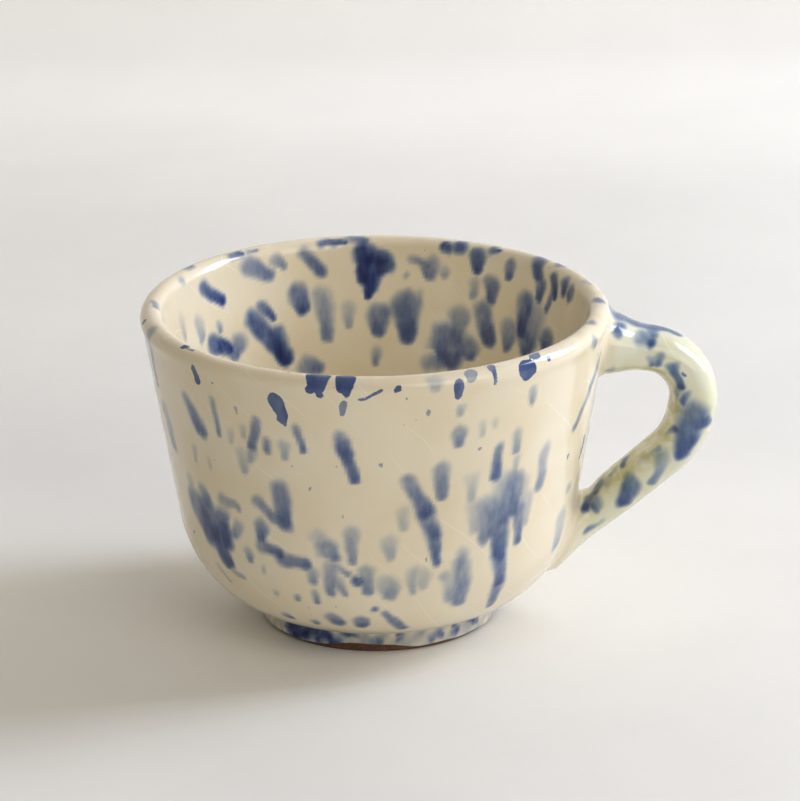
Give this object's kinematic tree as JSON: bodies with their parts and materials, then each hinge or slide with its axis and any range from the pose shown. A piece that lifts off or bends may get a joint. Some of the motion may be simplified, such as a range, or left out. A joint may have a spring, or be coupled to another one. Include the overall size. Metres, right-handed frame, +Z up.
{
  "type": "mug",
  "caption": "Thrown pottery mug with a rolled lip, a turned foot ring and a looped side handle, glazed cream with cobalt spatter, for holding a hot drink.",
  "frame": {"origin": "on the axis of the bowl, in the plane of the foot ring", "axes": "+Z up through the open mouth, +X from the axis out through the handle"},
  "size_m": [0.1349, 0.1098, 0.077],
  "materials": {
    "clay": "matte",
    "slip": "matte",
    "outer_glaze": "gloss",
    "inner_glaze": "gloss",
    "handle_glaze": "gloss"
  },
  "bodies": {
    "root": {"clay_body": "clay", "clay_handle": "clay", "upper_slip_joint": "slip", "lower_slip_joint": "slip", "outer_glaze": "outer_glaze", "inner_glaze": "inner_glaze", "handle_glaze": "handle_glaze"}
  },
  "joints": []
}
